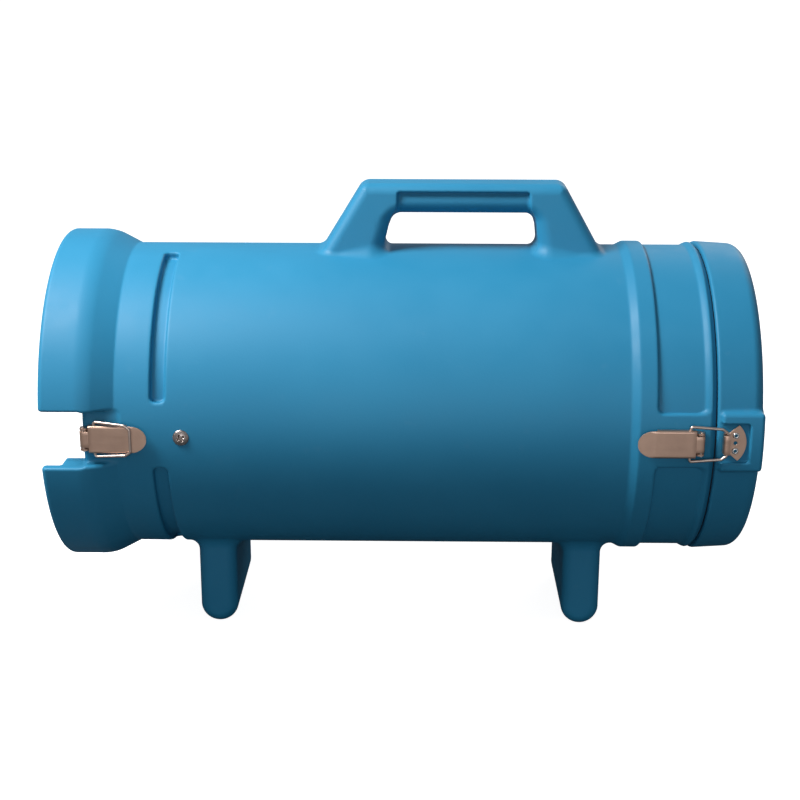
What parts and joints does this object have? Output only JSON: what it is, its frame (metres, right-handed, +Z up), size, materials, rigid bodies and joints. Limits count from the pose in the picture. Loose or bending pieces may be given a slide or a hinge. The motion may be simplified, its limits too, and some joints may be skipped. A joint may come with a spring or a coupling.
{
  "type": "shop vacuum",
  "caption": "Horizontal tube-bodied shop vacuum with a moulded carrying handle, two feet, a flared coupling end, draw latches and a removable end cap.",
  "frame": {"origin": "on the floor, under the middle of the object's box", "axes": "+X along the barrel from the flared end to the end cap, +Z up, -Y is the side that the picture shows"},
  "size_m": [0.59, 0.2916, 0.391],
  "materials": {
    "blue_polyethylene": "satin rotomoulded texture",
    "satin_stainless": "satin",
    "bright_rivet_steel": "bright",
    "screw_steel": "satin",
    "black_rubber": "matte",
    "black_plastic": "fine grain",
    "cast_aluminium": "as cast",
    "bearing_steel": "ground",
    "lamination_steel": "varnished",
    "copper_and_brass": "varnished",
    "carbon": "matte",
    "pleated_paper": "matte",
    "red_plastic": "semi gloss",
    "grey_foam": "open cell",
    "coated_wire": "powder coated"
  },
  "bodies": {
    "barrel": {"barrel_shell": "blue_polyethylene", "latch_base_near_left": "satin_stainless", "latch_base_far_left": "satin_stainless", "latch_base_near_right": "satin_stainless", "latch_base_far_right": "satin_stainless", "latch_hinge_pins": "bright_rivet_steel", "latch_rivets": "bright_rivet_steel", "cradle_screws": "screw_steel", "motor_cradle": "black_plastic", "cradle_bush": "black_rubber", "motor_can": "cast_aluminium", "rear_bell": "cast_aluminium", "front_bell": "cast_aluminium", "rear_bearing": "bearing_steel", "front_bearing": "bearing_steel", "stator": "lamination_steel", "field_coils": "copper_and_brass", "brush_holders": "copper_and_brass", "carbon_brushes": "carbon", "diffuser": "cast_aluminium", "fan_housing": "cast_aluminium", "bulkhead": "black_plastic", "bulkhead_gasket": "black_rubber", "bulkhead_screws": "screw_steel", "filter_cage": "black_plastic", "filter_stud": "screw_steel", "filter_seal": "black_rubber", "filter_media": "pleated_paper", "filter_end_cap": "black_rubber", "exhaust_foam": "grey_foam", "guard_grille": "coated_wire", "guard_screws": "screw_steel", "switch_plate": "black_plastic", "plate_screws": "screw_steel", "switch_housing": "black_plastic", "power_inlet": "black_plastic", "inlet_contacts": "screw_steel"},
    "end_cap": {"end_cap": "blue_polyethylene", "cap_gasket": "black_rubber", "keeper_near": "satin_stainless", "keeper_far": "satin_stainless", "keeper_rivets": "bright_rivet_steel", "hose_port": "black_plastic", "hose_port_screws": "screw_steel", "inlet_deflector": "black_plastic"},
    "rotor": {"motor_shaft": "bearing_steel", "armature": "lamination_steel", "commutator": "copper_and_brass", "impeller": "cast_aluminium", "impeller_nut": "screw_steel"},
    "filter_knob": {"filter_knob": "red_plastic"},
    "switch_rocker": {"switch_rocker": "red_plastic"},
    "near_left_lever": {"lever_near_left": "satin_stainless"},
    "near_left_bail": {"bail_near_left": "satin_stainless"},
    "near_right_lever": {"lever_near_right": "satin_stainless"},
    "near_right_bail": {"bail_near_right": "satin_stainless"},
    "far_left_lever": {"lever_far_left": "satin_stainless"},
    "far_left_bail": {"bail_far_left": "satin_stainless"},
    "far_right_lever": {"lever_far_right": "satin_stainless"},
    "far_right_bail": {"bail_far_right": "satin_stainless"}
  },
  "joints": [
    {"name": "near_left_lever_hinge", "type": "hinge", "parent": "barrel", "child": "near_left_lever", "pos_m": [-0.2596, -0.1386, 0.2], "axis": [0, 0, -1], "range_deg": [0, 100]},
    {"name": "near_left_bail_hinge", "type": "hinge", "parent": "near_left_lever", "child": "near_left_bail", "pos_m": [-0.2504, -0.1392, 0.2], "axis": [0, 0, -1], "range_deg": [0, 150]},
    {"name": "near_right_lever_hinge", "type": "hinge", "parent": "barrel", "child": "near_right_lever", "pos_m": [0.2433, -0.1419, 0.2], "axis": [0, 0, 1], "range_deg": [0, 75]},
    {"name": "near_right_bail_hinge", "type": "hinge", "parent": "near_right_lever", "child": "near_right_bail", "pos_m": [0.2341, -0.1425, 0.2], "axis": [0, 0, 1], "range_deg": [-60, 0]},
    {"name": "far_left_lever_hinge", "type": "hinge", "parent": "barrel", "child": "far_left_lever", "pos_m": [-0.2596, 0.1386, 0.2], "axis": [0, 0, 1], "range_deg": [0, 100]},
    {"name": "far_left_bail_hinge", "type": "hinge", "parent": "far_left_lever", "child": "far_left_bail", "pos_m": [-0.2504, 0.1392, 0.2], "axis": [0, 0, 1], "range_deg": [0, 150]},
    {"name": "far_right_lever_hinge", "type": "hinge", "parent": "barrel", "child": "far_right_lever", "pos_m": [0.2433, 0.1419, 0.2], "axis": [0, 0, -1], "range_deg": [0, 75]},
    {"name": "far_right_bail_hinge", "type": "hinge", "parent": "far_right_lever", "child": "far_right_bail", "pos_m": [0.2341, 0.1425, 0.2], "axis": [0, 0, -1], "range_deg": [-60, 0]},
    {"name": "end_cap_pull", "type": "slide", "parent": "barrel", "child": "end_cap", "axis": [1, 0, 0], "range_m": [0, 0.06]},
    {"name": "rotor_spin", "type": "hinge", "parent": "barrel", "child": "rotor", "pos_m": [-0.105, 0, 0.2], "axis": [1, 0, 0], "continuous": true},
    {"name": "filter_knob_turn", "type": "hinge", "parent": "barrel", "child": "filter_knob", "pos_m": [0.193, 0, 0.2], "axis": [1, 0, 0], "range_deg": [0, 360]},
    {"name": "switch_rocker_tilt", "type": "hinge", "parent": "barrel", "child": "switch_rocker", "pos_m": [-0.085, 0.1358, 0.2], "axis": [0, 0, 1], "range_deg": [0, 20]}
  ],
  "couplings": [
    {"joint": "near_right_bail_hinge", "follows": "near_right_lever_hinge", "ratio": -0.75},
    {"joint": "far_right_bail_hinge", "follows": "far_right_lever_hinge", "ratio": -0.75}
  ]
}
